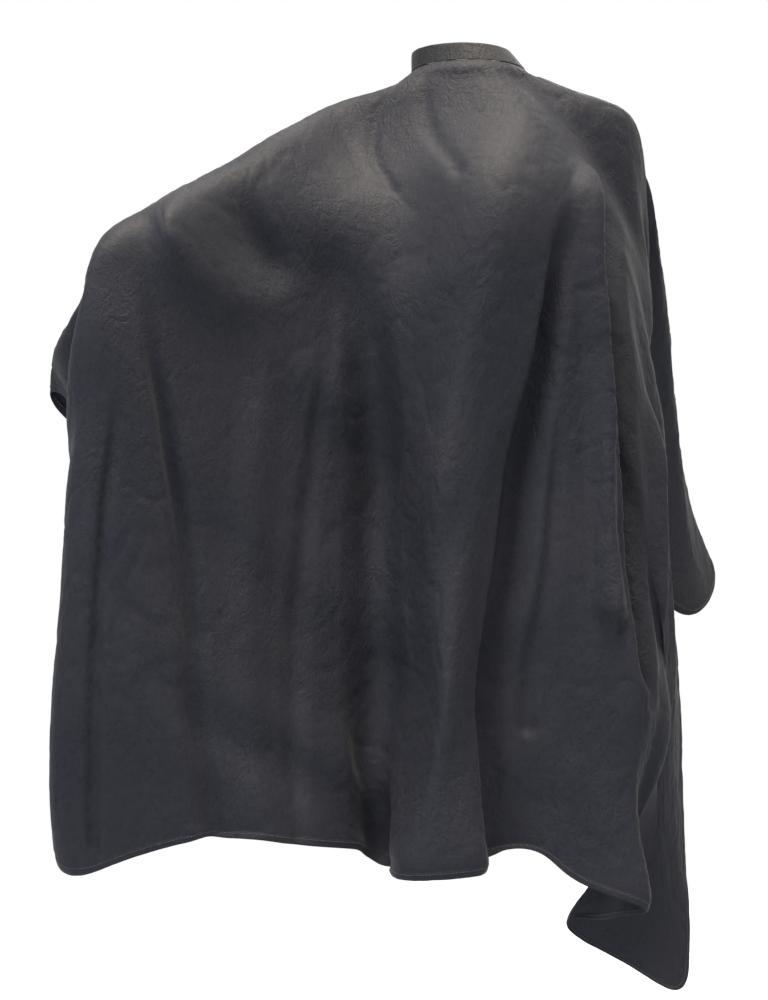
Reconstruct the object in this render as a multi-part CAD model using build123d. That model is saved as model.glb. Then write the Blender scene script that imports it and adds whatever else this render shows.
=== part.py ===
from build123d import *
import math
import os

# Barber cape: one cut cloth hanging from a stand-up neck band that closes at the back
# with a row of press studs. Millimetres, +Z up, the wearer's front towards -Y. The origin
# is the centre of the neck opening, half way up the band.

# ---- neck band ----
NECK_RADIUS = 65.0
BAND_HEIGHT = 22.0
CLOTH_LAYER = 0.45
INTERLINING = 0.5
LAYER_GAP = 0.1
BAND_THICKNESS = 2 * CLOTH_LAYER + 2 * LAYER_GAP + INTERLINING
BAND_OUTER = NECK_RADIUS + BAND_THICKNESS
TOP_FOLD = 0.5  # cloth left over the interlining where the strip folds over
END_WALL = 0.6  # degrees of cloth left past the interlining at each end of a strip

# ---- back closure: angles round the neck, from +X towards the back (+Y) ----
BACK = 90.0
SLIT_HALF_ANGLE = 2.0
TAB_LENGTH_ANGLE = 48.0
TAB_INNER = 69.55
TAB_OUTER = TAB_INNER + BAND_THICKNESS
TAB_CORNER = 6.0
HINGE_ANGLE = BACK - SLIT_HALF_ANGLE
HINGE_RADIUS = 68.45
KNUCKLE_RADIUS = 1.7
TOPSTITCH_INSET = 2.5
TOPSTITCH_WIDTH = 0.5
THREAD = 0.3
TOUCH = 0.05  # clearance between pieces that lie on each other

# ---- press studs ----
FIRST_STUD_ANGLE = 112.0
STUD_PITCH_ANGLE = 15.0
STUD_COUNT = 4
SOCKET_COUNT = 2
SNAP_FLANGE_RADIUS = 4.6
EYELET_RADIUS = 5.0
EYELET_THICKNESS = 0.28
POST_RADIUS = 1.6
POST_HOLE = 1.7
STUD_HEAD_RADIUS = 2.4
STUD_NECK_RADIUS = 2.1
STUD_FLANGE_THICKNESS = 0.4
STUD_TOP = 68.7
SOCKET_BOTTOM = 67.2
SOCKET_ROOF = 68.85
CAVITY_RADIUS = 3.35
SPRING_RING_RADIUS = 3.65
SPRING_WIRE_RADIUS = 0.25
CAP_RADIUS = 5.2
CAP_HEIGHT = 1.3

# ---- care label, blank, caught in the seam inside the back ----
LABEL_ANGLE = 62.0
LABEL_WIDTH = 28.0
LABEL_DROP = 36.0
LABEL_THICKNESS = 0.3
LABEL_RADIUS = 65.3
LABEL_TOP = -BAND_HEIGHT / 2 - 1.2

# ---- the cloth ----
PANEL_THICKNESS = 1.0
PANEL_SEAM_RADIUS = 68.6
PANEL_SEAM_DROP = 0.3
ROWS_BELOW_SHOULDER = 5
FALL_CURVE = 0.85  # below 1 the cloth leaves the shoulder outwards before it falls
HEM_THREAD_INSET = 5.0
HEM_THREAD_STANDOFF = 1.3
HEM_THREAD_WIDTH = 0.6

# Each line down the cloth: the angle where it leaves the neck seam, the point where it
# bends over the shoulder or the raised arm, and the point where it ends at the hem.
# The lines go round from one edge of the back opening to the other.
CLOTH_LINES = [
    # back, wearer's side under the raised arm
    (94, (-12, 108, -62), (-12, 185, -415)),
    (112, (-70, 100, -62), (-60, 195, -440)),
    (128, (-125, 82, -72), (-125, 190, -485)),
    (146, (-205, 30, -98), (-190, 170, -555)),
    (160, (-300, -45, -140), (-255, 115, -625)),
    (170, (-395, -125, -188), (-300, -20, -670)),
    # round the end of the arm: the side edge of the cloth
    (178, (-440, -190, -215), (-360, -120, -600)),
    (183, (-448, -222, -219), (-465, -200, -410)),
    (187, (-450, -244, -222), (-425, -175, -715)),
    (191, (-448, -262, -222), (-440, -225, -865)),
    # front, below the arm
    (197, (-434, -290, -216), (-445, -300, -905)),
    (204, (-400, -300, -205), (-365, -335, -895)),
    (212, (-330, -245, -170), (-290, -320, -875)),
    (222, (-235, -190, -125), (-160, -240, -895)),
    (234, (-150, -146, -100), (-103, -180, -915)),
    # front, over the chest
    (246, (-100, -158, -180), (-88, -240, -930)),
    (260, (-50, -185, -205), (-40, -260, -928)),
    (274, (10, -192, -208), (10, -240, -925)),
    (286, (60, -180, -200), (25, -175, -914)),
    (298, (104, -150, -170), (62, -170, -909)),
    (311, (145, -115, -110), (105, -180, -937)),
    (322, (172, -82, -75), (188, -200, -972)),
    # the fold that turns under, and the long front corner
    (330, (184, -56, -62), (150, -140, -992)),
    (338, (190, -34, -60), (110, -90, -1012)),
    (346, (193, -12, -60), (195, -78, -1070)),
    (353, (194, 8, -60), (250, -55, -1092)),
    # right shoulder: the side edge of the cloth
    (360, (193, 26, -60), (256, 0, -860)),
    (368, (190, 44, -60), (250, 70, -690)),
    (377, (183, 60, -60), (275, 140, -640)),
    (388, (168, 76, -60), (335, 220, -642)),
    # back, behind the right shoulder
    (402, (130, 92, -60), (230, 262, -560)),
    (416, (84, 102, -60), (140, 190, -495)),
    (432, (40, 108, -60), (65, 190, -438)),
    (446, (12, 108, -62), (12, 185, -415)),
]


def wedge(start, end, inner, outer, bottom, top):
    """A curved wall round the neck from one angle to another."""
    with BuildPart() as wall:
        with BuildSketch(Plane.XY.offset(bottom)):
            with BuildLine():
                CenterArc((0, 0), inner, start, end - start)
                CenterArc((0, 0), outer, start, end - start)
                Line(polar(inner, start), polar(outer, start))
                Line(polar(inner, end), polar(outer, end))
            make_face()
        extrude(amount=top - bottom)
    return wall.part


def polar(radius, angle):
    """A point at this radius and angle round the neck."""
    turn = math.radians(angle)
    return (radius * math.cos(turn), radius * math.sin(turn))


def outward(angle, radius):
    """A plane at this radius whose normal points away from the neck's axis."""
    x, y = polar(radius, angle)
    turn = math.radians(angle)
    return Plane(
        origin=(x, y, 0),
        x_dir=(-math.sin(turn), math.cos(turn), 0),
        z_dir=(math.cos(turn), math.sin(turn), 0),
    )


def disc(angle, radius, start, end):
    """A round solid along the line out from the neck, between two distances from the axis."""
    return extrude(outward(angle, start) * Circle(radius), amount=end - start)


def stud_angles(count):
    """Where the press studs sit: the first ones are those that are fastened."""
    return [FIRST_STUD_ANGLE + STUD_PITCH_ANGLE * i for i in range(count)]


def strip(start, end, inner):
    """A band of the full thickness and height round part of the neck."""
    return wedge(start, end, inner, inner + BAND_THICKNESS, -BAND_HEIGHT / 2, BAND_HEIGHT / 2)


def interlining_slot(start, end, inner):
    """The space inside a folded strip: closed at the top by the fold, open below."""
    return wedge(
        start + END_WALL,
        end - END_WALL,
        inner + CLOTH_LAYER,
        inner + BAND_THICKNESS - CLOTH_LAYER,
        -BAND_HEIGHT / 2 - 1,
        BAND_HEIGHT / 2 - TOP_FOLD,
    )


def interlining(start, end, inner):
    """The stiff strip that keeps the folded cloth standing up."""
    margin = END_WALL + LAYER_GAP
    start_radius = inner + CLOTH_LAYER + LAYER_GAP
    return wedge(
        start + margin,
        end - margin,
        start_radius,
        start_radius + INTERLINING,
        -BAND_HEIGHT / 2 + LAYER_GAP,
        BAND_HEIGHT / 2 - TOP_FOLD - LAYER_GAP,
    )


BAND_START = BACK + SLIT_HALF_ANGLE
BAND_END = BACK - SLIT_HALF_ANGLE + 360
TAB_START = HINGE_ANGLE
TAB_END = HINGE_ANGLE + TAB_LENGTH_ANGLE
TAB_CORNER_ANGLE = math.degrees(TAB_CORNER / TAB_INNER)


def neck_band():
    band = strip(BAND_START, BAND_END, NECK_RADIUS)
    band -= interlining_slot(BAND_START, BAND_END, NECK_RADIUS)
    for angle in stud_angles(STUD_COUNT):
        band -= disc(angle, POST_HOLE, NECK_RADIUS - 1, BAND_OUTER + 1)
        band -= disc(angle, EYELET_RADIUS + LAYER_GAP, NECK_RADIUS - 1, NECK_RADIUS + CLOTH_LAYER + TOUCH)
    return band


def neck_band_interlining():
    stiffener = interlining(BAND_START, BAND_END, NECK_RADIUS)
    for angle in stud_angles(STUD_COUNT):
        stiffener -= disc(angle, POST_HOLE, NECK_RADIUS - 1, BAND_OUTER + 1)
    return stiffener


def neck_seam_thread():
    """The line of stitches that joins the cloth to the band, just above the band's lower edge."""
    bottom = -BAND_HEIGHT / 2 + 1.2
    return wedge(
        BAND_START + END_WALL,
        BAND_END - END_WALL,
        BAND_OUTER + TOUCH,
        BAND_OUTER + TOUCH + THREAD,
        bottom,
        bottom + THREAD,
    )


def bartacks():
    """A short block of dense stitches at each top corner of the back opening."""
    half = BAND_HEIGHT / 2
    inner = BAND_OUTER + TOUCH
    low, high = -half + 2.2, -half + 8.2
    tacks = [
        wedge(BAND_START + 1.0, BAND_START + 2.4, inner, inner + THREAD, low, high),
        wedge(BAND_END - 3.4, BAND_END - 2.0, inner, inner + THREAD, low, high),
    ]
    return Compound(children=tacks)


def is_tip_corner(edge):
    """True for the two short edges through the tab's thickness at its free end."""
    middle = edge.center()
    angle = math.degrees(math.atan2(middle.Y, middle.X))
    return abs(edge.length - BAND_THICKNESS) < TOUCH and abs(angle - TAB_END) < END_WALL


def closure_tab():
    """The loose end of the band, which swings open about the fold at its root."""
    tab = strip(TAB_START, TAB_END, TAB_INNER)
    corners = [edge for edge in tab.edges() if is_tip_corner(edge)]
    tab = fillet(corners, TAB_CORNER)
    tab -= interlining_slot(TAB_START, TAB_END - TAB_CORNER_ANGLE, TAB_INNER)
    x, y = polar(HINGE_RADIUS, HINGE_ANGLE)
    tab += Pos(x, y, 0) * Cylinder(KNUCKLE_RADIUS, BAND_HEIGHT)
    for angle in stud_angles(SOCKET_COUNT):
        tab -= disc(angle, POST_HOLE, TAB_INNER - 1, TAB_OUTER + 1)
    return tab


def closure_tab_interlining():
    stiffener = interlining(TAB_START, TAB_END - TAB_CORNER_ANGLE, TAB_INNER)
    for angle in stud_angles(SOCKET_COUNT):
        stiffener -= disc(angle, POST_HOLE, TAB_INNER - 1, TAB_OUTER + 1)
    return stiffener


def closure_tab_thread():
    """The topstitching round the tab, a little way in from its edge."""
    half = BAND_HEIGHT / 2 - TOPSTITCH_INSET
    inset_angle = math.degrees(TOPSTITCH_INSET / TAB_OUTER)
    width_angle = math.degrees(TOPSTITCH_WIDTH / TAB_OUTER)
    start, end = TAB_START + inset_angle, TAB_END - 2 * inset_angle
    inner = TAB_OUTER + TOUCH
    frame = wedge(start, end, inner, inner + THREAD, -half, half)
    window = wedge(
        start + width_angle,
        end - width_angle,
        inner - 1,
        inner + THREAD + 1,
        -half + TOPSTITCH_WIDTH,
        half - TOPSTITCH_WIDTH,
    )
    return frame - window


def snap_eyelet(angle):
    """Flange against the lining, with a hollow post that is rolled over inside the stud."""
    flange_top = NECK_RADIUS + EYELET_THICKNESS
    eyelet = disc(angle, EYELET_RADIUS, NECK_RADIUS, flange_top)
    eyelet += disc(angle, POST_RADIUS, NECK_RADIUS, STUD_TOP - 0.8)
    return eyelet - disc(angle, POST_RADIUS - 0.5, NECK_RADIUS - 1, STUD_TOP)


def snap_stud(angle):
    """Flange on the band's outside and a waisted head that the socket grips."""
    base = BAND_OUTER + TOUCH
    flange_top = base + STUD_FLANGE_THICKNESS
    stud = disc(angle, SNAP_FLANGE_RADIUS, base, flange_top)
    stud += disc(angle, STUD_NECK_RADIUS, base, STUD_TOP - 0.6)
    stud += disc(angle, STUD_HEAD_RADIUS, STUD_TOP - 0.9, STUD_TOP)
    return stud - disc(angle, POST_RADIUS + TOUCH, base - 1, STUD_TOP - 0.4)


def snap_socket(angle):
    """Cup under the tab, with a groove inside its rim for the spring ring."""
    roof_top = TAB_INNER - 0.2
    socket = disc(angle, SNAP_FLANGE_RADIUS, SOCKET_BOTTOM, roof_top)
    socket -= disc(angle, CAVITY_RADIUS, SOCKET_BOTTOM - 1, SOCKET_ROOF)
    middle = (SOCKET_BOTTOM + SOCKET_ROOF) / 2
    reach = SPRING_WIRE_RADIUS + TOUCH
    socket -= disc(angle, SPRING_RING_RADIUS + reach, middle - reach, middle + reach)
    return socket - disc(angle, POST_RADIUS + TOUCH, SOCKET_ROOF - 1, roof_top + 1)


def snap_spring(angle):
    """The wire ring in the socket's groove."""
    middle = (SOCKET_BOTTOM + SOCKET_ROOF) / 2
    return outward(angle, middle) * Torus(SPRING_RING_RADIUS, SPRING_WIRE_RADIUS)


def snap_cap(angle):
    """Domed cap on the tab's outside, with a post through the tab into the socket."""
    base = TAB_OUTER + TOUCH
    dome_radius = (CAP_RADIUS**2 + CAP_HEIGHT**2) / (2 * CAP_HEIGHT)
    ball = outward(angle, base + CAP_HEIGHT - dome_radius) * Sphere(dome_radius)
    cap = ball & disc(angle, CAP_RADIUS, base, base + CAP_HEIGHT + 1)
    return cap + disc(angle, POST_RADIUS, SOCKET_ROOF + TOUCH, base + CAP_HEIGHT / 2)


def care_label():
    """Blank woven label that hangs free below the seam, inside the back."""
    plane = outward(LABEL_ANGLE, LABEL_RADIUS)
    sketch = plane * Pos(0, LABEL_TOP - LABEL_DROP / 2) * Rectangle(LABEL_WIDTH, LABEL_DROP)
    return extrude(sketch, amount=LABEL_THICKNESS)


def label_thread():
    """The row of stitches across the top of the label."""
    plane = outward(LABEL_ANGLE, LABEL_RADIUS - THREAD - TOUCH)
    sketch = plane * Pos(0, LABEL_TOP - 2.0) * Rectangle(LABEL_WIDTH - 3.0, TOPSTITCH_WIDTH)
    return extrude(sketch, amount=THREAD)


def cloth_line(seam_angle, shoulder, hem):
    """The points down one line of the cloth, from the neck seam to the hem."""
    x, y = polar(PANEL_SEAM_RADIUS, seam_angle)
    points = [Vector(x, y, -BAND_HEIGHT / 2 - PANEL_SEAM_DROP), Vector(*shoulder)]
    for row in range(1, ROWS_BELOW_SHOULDER + 1):
        down = row / ROWS_BELOW_SHOULDER
        out = down**FALL_CURVE
        points.append(
            Vector(
                shoulder[0] + (hem[0] - shoulder[0]) * out,
                shoulder[1] + (hem[1] - shoulder[1]) * out,
                shoulder[2] + (hem[2] - shoulder[2]) * down,
            )
        )
    return points


def grid_triangles(columns, rows):
    """Two triangles for each cell of a grid, as places in it."""
    triangles = []
    for i in range(columns - 1):
        for j in range(rows - 1):
            a, b, c, d = (i, j), (i + 1, j), (i + 1, j + 1), (i, j + 1)
            triangles += [(a, c, b), (a, d, c)]
    return triangles


def vertex_normals(grid):
    """The outward direction at each point of a grid: the mean of the faces round it."""
    normals = [[Vector(0, 0, 0) for _ in line] for line in grid]
    for corners in grid_triangles(len(grid), len(grid[0])):
        a, b, c = (grid[i][j] for i, j in corners)
        normal = (b - a).cross(c - a)
        for i, j in corners:
            normals[i][j] = normals[i][j] + normal
    return [[n.normalized() for n in line] for line in normals]


def flat_face(*points):
    return Face(Wire.make_polygon(points, close=True))


def sheet_solid(outer, inner):
    """A closed solid between two grids of points with the same layout."""
    columns, rows = len(outer), len(outer[0])
    faces = []
    for triangle in grid_triangles(columns, rows):
        faces.append(flat_face(*[outer[i][j] for i, j in triangle]))
        faces.append(flat_face(*[inner[i][j] for i, j in reversed(triangle)]))
    rim = [(i, 0) for i in range(columns)]
    rim += [(columns - 1, j) for j in range(1, rows)]
    rim += [(i, rows - 1) for i in range(columns - 2, -1, -1)]
    rim += [(0, j) for j in range(rows - 2, 0, -1)]
    for (i, j), (k, m) in zip(rim, rim[1:] + rim[:1]):
        faces.append(flat_face(outer[i][j], outer[k][m], inner[i][j]))
        faces.append(flat_face(inner[i][j], outer[k][m], inner[k][m]))
    return Solid(Shell(faces))


CLOTH_GRID = [cloth_line(*line) for line in CLOTH_LINES]
CLOTH_NORMALS = vertex_normals(CLOTH_GRID)


def offset_grid(grid, normals, distance):
    return [
        [point + normal * distance for point, normal in zip(line, line_normals)]
        for line, line_normals in zip(grid, normals)
    ]


def cape_panel():
    """The whole cloth, cut in one piece, as a thin closed shell that is hollow underneath."""
    return sheet_solid(CLOTH_GRID, offset_grid(CLOTH_GRID, CLOTH_NORMALS, -PANEL_THICKNESS))


def hem_thread():
    """The hem's line of stitches, just above the lower edge on the outside."""
    upper, lower = [], []
    for line, normals in zip(CLOTH_GRID, CLOTH_NORMALS):
        rise = (line[-2] - line[-1]).normalized()
        start = line[-1] + normals[-1] * HEM_THREAD_STANDOFF + rise * HEM_THREAD_INSET
        lower.append(start)
        upper.append(start + rise * HEM_THREAD_WIDTH)
    outer = [[high, low] for high, low in zip(upper, lower)]
    facing = [[normals[-1], normals[-1]] for normals in CLOTH_NORMALS]
    return sheet_solid(offset_grid(outer, facing, THREAD), outer)


def each(make, count):
    """One solid for each press stud, together in one node."""
    return Compound(children=[make(angle) for angle in stud_angles(count)])


NODES = {
    "cape_panel": cape_panel(),
    "hem_thread": hem_thread(),
    "neck_band": neck_band(),
    "neck_band_interlining": neck_band_interlining(),
    "neck_seam_thread": neck_seam_thread(),
    "bartacks": bartacks(),
    "snap_eyelets": each(snap_eyelet, STUD_COUNT),
    "snap_studs": each(snap_stud, STUD_COUNT),
    "closure_tab": closure_tab(),
    "closure_tab_interlining": closure_tab_interlining(),
    "closure_tab_thread": closure_tab_thread(),
    "snap_sockets": each(snap_socket, SOCKET_COUNT),
    "snap_springs": each(snap_spring, SOCKET_COUNT),
    "snap_caps": each(snap_cap, SOCKET_COUNT),
    "care_label": care_label(),
    "label_thread": label_thread(),
}

os.makedirs("parts", exist_ok=True)
for name, shape in NODES.items():
    export_step(shape, f"parts/{name}.step")
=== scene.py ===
import math

import bmesh
import bpy
import numpy as np
from mathutils import Matrix, Vector, noise
from mathutils.bvhtree import BVHTree
from mathutils.geometry import barycentric_transform, delaunay_2d_cdt


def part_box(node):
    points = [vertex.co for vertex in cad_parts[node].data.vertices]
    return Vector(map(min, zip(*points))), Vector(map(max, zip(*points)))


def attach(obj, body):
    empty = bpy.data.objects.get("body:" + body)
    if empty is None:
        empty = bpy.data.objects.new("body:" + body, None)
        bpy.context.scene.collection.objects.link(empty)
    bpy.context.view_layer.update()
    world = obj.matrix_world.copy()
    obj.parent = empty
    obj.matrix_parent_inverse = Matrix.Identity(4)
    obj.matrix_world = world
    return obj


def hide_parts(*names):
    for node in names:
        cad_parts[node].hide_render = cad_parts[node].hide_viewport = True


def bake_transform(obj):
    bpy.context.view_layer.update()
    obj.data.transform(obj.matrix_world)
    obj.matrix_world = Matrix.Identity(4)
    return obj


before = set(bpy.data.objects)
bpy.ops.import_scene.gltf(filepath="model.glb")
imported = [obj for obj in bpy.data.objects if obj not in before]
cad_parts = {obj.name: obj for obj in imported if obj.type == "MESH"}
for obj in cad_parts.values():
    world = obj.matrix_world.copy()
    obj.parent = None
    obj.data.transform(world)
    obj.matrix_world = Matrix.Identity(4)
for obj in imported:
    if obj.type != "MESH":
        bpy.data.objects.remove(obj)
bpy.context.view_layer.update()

# Barber cape. Metres, +Z up, the wearer's front towards -Y, the raised arm towards -X.
MM = 0.001
BACK_ANGLE = 90.0

# ---- the cut of the cloth, laid flat: a 50 by 60 inch sheet ----
SHEET_WIDTH = 1.27
FRONT_LENGTH = 1.03
BACK_LENGTH = 0.494
SHEET_LENGTH = FRONT_LENGTH + BACK_LENGTH
CORNER_RADIUS = 0.07
NECK_HOLE = 0.080
SLIT_HALF_WIDTH = 0.004
HEM_WIDTH = 0.007
CLOTH_THICKNESS = 0.35 * MM
MESH_STEP = 0.018

# ---- the neck band, as the frame has it ----
band_low, band_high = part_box("neck_band")
BAND_OUTER = band_high[0]
BAND_TOP = band_high[2]
BAND_BOTTOM = band_low[2]
SEAM_RADIUS = BAND_OUTER + 1.9 * MM
SEAM_HEIGHT = BAND_BOTTOM


def polar(radius, degrees, height=0.0):
    """A point round the neck: angles run from +X towards the back."""
    turn = math.radians(degrees)
    return (radius * math.cos(turn), radius * math.sin(turn), height)


def smooth_step(value, start, end):
    part = min(1.0, max(0.0, (value - start) / (end - start)))
    return part * part * (3 - 2 * part)


# =====================================================================================
# Camera, lights and room
# =====================================================================================
CAMERA_PLACE = (-0.0996, -2.2, -0.5235)
HALF_VIEW_HEIGHT = 0.6
FLOOR_HEIGHT = -1.25


def add_camera():
    data = bpy.data.cameras.new("camera")
    data.sensor_fit = "VERTICAL"
    data.angle = 2 * math.atan(HALF_VIEW_HEIGHT / -CAMERA_PLACE[1])
    data.clip_end = 50
    camera = bpy.data.objects.new("camera", data)
    camera.location = CAMERA_PLACE
    camera.rotation_euler = (math.radians(90), 0, 0)
    bpy.context.scene.collection.objects.link(camera)
    bpy.context.scene.camera = camera


def add_area_light(name, place, target, size, power, colour):
    data = bpy.data.lights.new(name, "AREA")
    data.shape = "SQUARE"
    data.size = size
    data.energy = power
    data.color = colour
    light = bpy.data.objects.new(name, data)
    light.location = place
    aim = Vector(target) - Vector(place)
    light.rotation_euler = aim.to_track_quat("-Z", "Y").to_euler()
    bpy.context.scene.collection.objects.link(light)


def add_lights():
    chest = (0, 0, -0.4)
    add_area_light("key", (0.1, -0.5, 2.4), chest, 1.4, 285, (1.0, 0.87, 0.71))
    add_area_light("side", (-1.6, -1.9, 0.6), chest, 1.0, 46, (0.95, 0.96, 1.0))
    add_area_light("rear", (0.6, 2.4, 1.4), chest, 1.6, 30, (1.0, 0.98, 0.95))
    world = bpy.data.worlds.new("room_light")
    world.use_nodes = True
    background = world.node_tree.nodes["Background"]
    background.inputs["Color"].default_value = (1.0, 1.0, 1.0, 1)
    background.inputs["Strength"].default_value = 1.0
    bpy.context.scene.world = world
    bpy.context.scene.view_settings.view_transform = "Standard"


def add_floor():
    """A round pale floor under the cape."""
    bpy.ops.mesh.primitive_circle_add(vertices=96, radius=1.3, fill_type="NGON")
    floor = bpy.context.object
    floor.name = "floor"
    floor.location = (0, 0, FLOOR_HEIGHT)
    material = bpy.data.materials.new("pale_floor")
    material.use_nodes = True
    shader = material.node_tree.nodes["Principled BSDF"]
    shader.inputs["Base Color"].default_value = (0.50, 0.53, 0.58, 1)
    shader.inputs["Roughness"].default_value = 0.8
    floor.data.materials.append(material)


# =====================================================================================
# Materials
# =====================================================================================
class Nodes:
    """Short names for building one material's node tree."""

    def __init__(self, name):
        self.material = bpy.data.materials.new(name)
        self.material.use_nodes = True
        self.tree = self.material.node_tree
        self.shader = self.tree.nodes["Principled BSDF"]
        self.place = self.add("ShaderNodeTexCoord").outputs["Object"]

    def add(self, kind, **values):
        node = self.tree.nodes.new(kind)
        for key, value in values.items():
            setattr(node, key, value)
        return node

    def link(self, source, target):
        self.tree.links.new(source, target)

    def noise(self, scale, detail=3.0, roughness=0.55, stretch=(1, 1, 1), distortion=0.0):
        """Noise in the object's own space, in features per metre."""
        mapping = self.add("ShaderNodeMapping")
        mapping.inputs["Scale"].default_value = stretch
        self.link(self.place, mapping.inputs["Vector"])
        texture = self.add("ShaderNodeTexNoise")
        texture.inputs["Scale"].default_value = scale
        texture.inputs["Detail"].default_value = detail
        texture.inputs["Roughness"].default_value = roughness
        texture.inputs["Distortion"].default_value = distortion
        self.link(mapping.outputs["Vector"], texture.inputs["Vector"])
        return texture.outputs["Fac"]

    def creases(self, scale, stretch=(1, 1, 1), width=0.12):
        """Fine broken creases: the places where a warped noise crosses its middle value."""
        level = self.noise(scale, detail=2.0, roughness=0.6, stretch=stretch, distortion=1.4)
        middle = self.add("ShaderNodeMath", operation="SUBTRACT")
        middle.inputs[1].default_value = 0.5
        self.link(level, middle.inputs[0])
        away = self.add("ShaderNodeMath", operation="ABSOLUTE")
        self.link(middle.outputs[0], away.inputs[0])
        return self.scale_range(away.outputs[0], 0.0, 1.0, source=(0.0, width))

    def wave(self, scale, axis):
        """Even ribs across one axis, in ribs per metre."""
        texture = self.add("ShaderNodeTexWave", bands_direction=axis)
        texture.inputs["Scale"].default_value = scale / 20 * math.tau
        texture.inputs["Distortion"].default_value = 0.0
        self.link(self.place, texture.inputs["Vector"])
        return texture.outputs["Fac"]

    def ramp(self, factor, stops):
        """Blend between colours placed along a factor."""
        ramp = self.add("ShaderNodeValToRGB")
        elements = ramp.color_ramp.elements
        while len(elements) < len(stops):
            elements.new(0.5)
        for element, (position, colour) in zip(elements, stops):
            element.position = position
            element.color = (*colour, 1)
        self.link(factor, ramp.inputs["Fac"])
        return ramp.outputs["Color"]

    def mix(self, factor, first, second, blend="MIX"):
        node = self.add("ShaderNodeMix", data_type="RGBA", blend_type=blend)
        for value, socket in ((factor, node.inputs[0]), (first, node.inputs[6]), (second, node.inputs[7])):
            if isinstance(value, (int, float, tuple)):
                socket.default_value = value
            else:
                self.link(value, socket)
        return node.outputs[2]

    def scale_range(self, value, low, high, source=(0.0, 1.0)):
        node = self.add("ShaderNodeMapRange")
        node.inputs["From Min"].default_value = source[0]
        node.inputs["From Max"].default_value = source[1]
        node.inputs["To Min"].default_value = low
        node.inputs["To Max"].default_value = high
        self.link(value, node.inputs["Value"])
        return node.outputs["Result"]

    def bumps(self, *layers):
        """Stack bump layers, each (height output, depth in metres)."""
        normal = None
        for height, depth in layers:
            bump = self.add("ShaderNodeBump")
            bump.inputs["Strength"].default_value = 1.0
            bump.inputs["Distance"].default_value = depth
            self.link(height, bump.inputs["Height"])
            if normal is not None:
                self.link(normal, bump.inputs["Normal"])
            normal = bump.outputs["Normal"]
        self.link(normal, self.shader.inputs["Normal"])

    def colour(self, output):
        self.link(output, self.shader.inputs["Base Color"])

    def roughness(self, output):
        self.link(output, self.shader.inputs["Roughness"])

    def set(self, **values):
        for name, value in values.items():
            self.shader.inputs[name.replace("_", " ")].default_value = value


def crinkle_nylon(name, dark, light, worn):
    """Plain-woven nylon with a crushed finish: fine broken creases, soft sheen, slight colour drift."""
    made = Nodes(name)
    drift = made.noise(7, detail=4)
    mottle = made.noise(210, detail=4, roughness=0.75)
    base = made.ramp(drift, [(0.3, dark), (0.72, light)])
    flecked = made.ramp(mottle, [(0.3, (0.78, 0.78, 0.80)), (0.75, (1.22, 1.20, 1.16))])
    body = made.mix(1.0, base, flecked, "MULTIPLY")
    long_creases = made.creases(46, stretch=(1.0, 1.0, 0.6))
    short_creases = made.creases(170, stretch=(1.0, 1.0, 0.8), width=0.18)
    rubbed = made.scale_range(short_creases, 0.35, 0.0)
    made.colour(made.mix(rubbed, body, worn))
    made.roughness(made.scale_range(mottle, 0.50, 0.66, source=(0.3, 0.7)))
    weave_across = made.wave(1700, "X")
    weave_down = made.wave(1700, "Z")
    patches = made.scale_range(made.noise(5, detail=2), 0.15, 1.0, source=(0.42, 0.60))
    made.bumps(
        (made.mix(patches, (0.7, 0.7, 0.7, 1), long_creases), 0.40 * MM),
        (made.mix(patches, (0.7, 0.7, 0.7, 1), short_creases), 0.24 * MM),
        (mottle, 0.45 * MM),
        (weave_across, 0.03 * MM),
        (weave_down, 0.03 * MM),
    )
    made.set(Sheen_Weight=0.03, Sheen_Roughness=0.4, Specular_IOR_Level=0.10)
    made.shader.inputs["Sheen Tint"].default_value = (0.9, 0.88, 0.84, 1)
    return made.material


def twisted_thread(name, dark, light):
    made = Nodes(name)
    made.colour(made.ramp(made.noise(1400, detail=2), [(0.3, dark), (0.7, light)]))
    made.roughness(made.scale_range(made.noise(900), 0.45, 0.65))
    made.bumps((made.noise(2600, detail=2), 0.10 * MM))
    made.set(Sheen_Weight=0.3, Sheen_Roughness=0.4)
    return made.material


def pressed_felt(name, dark, light):
    """Stiff non-woven interlining: matted short fibres."""
    made = Nodes(name)
    fibres = made.noise(1500, detail=6, roughness=0.75, stretch=(1, 1, 3))
    made.colour(made.ramp(fibres, [(0.3, dark), (0.75, light)]))
    made.roughness(made.scale_range(fibres, 0.8, 0.95))
    made.bumps((fibres, 0.15 * MM))
    return made.material


def satin_ribbon(name, dark, light):
    """Woven label: fine ribs with a satin gloss."""
    made = Nodes(name)
    ribs = made.wave(3300, "Z")
    warp = made.noise(900, detail=3, stretch=(6, 6, 0.6))
    tone = made.ramp(warp, [(0.3, dark), (0.75, light)])
    made.colour(made.mix(made.scale_range(ribs, 0.0, 0.35), tone, (*dark, 1)))
    made.roughness(made.scale_range(warp, 0.32, 0.5))
    made.bumps((ribs, 0.04 * MM), (warp, 0.05 * MM))
    made.set(Sheen_Weight=0.25, Specular_IOR_Level=0.6)
    return made.material


def plated_metal(name, dark, light, scratches):
    made = Nodes(name)
    tarnish = made.noise(420, detail=5, roughness=0.7)
    brushed = made.noise(1800, detail=3, stretch=(1, 1, scratches))
    made.colour(made.ramp(tarnish, [(0.3, dark), (0.7, light)]))
    made.roughness(made.scale_range(brushed, 0.16, 0.42, source=(0.3, 0.75)))
    made.bumps((brushed, 0.02 * MM), (tarnish, 0.03 * MM))
    made.set(Metallic=1.0)
    return made.material


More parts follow.
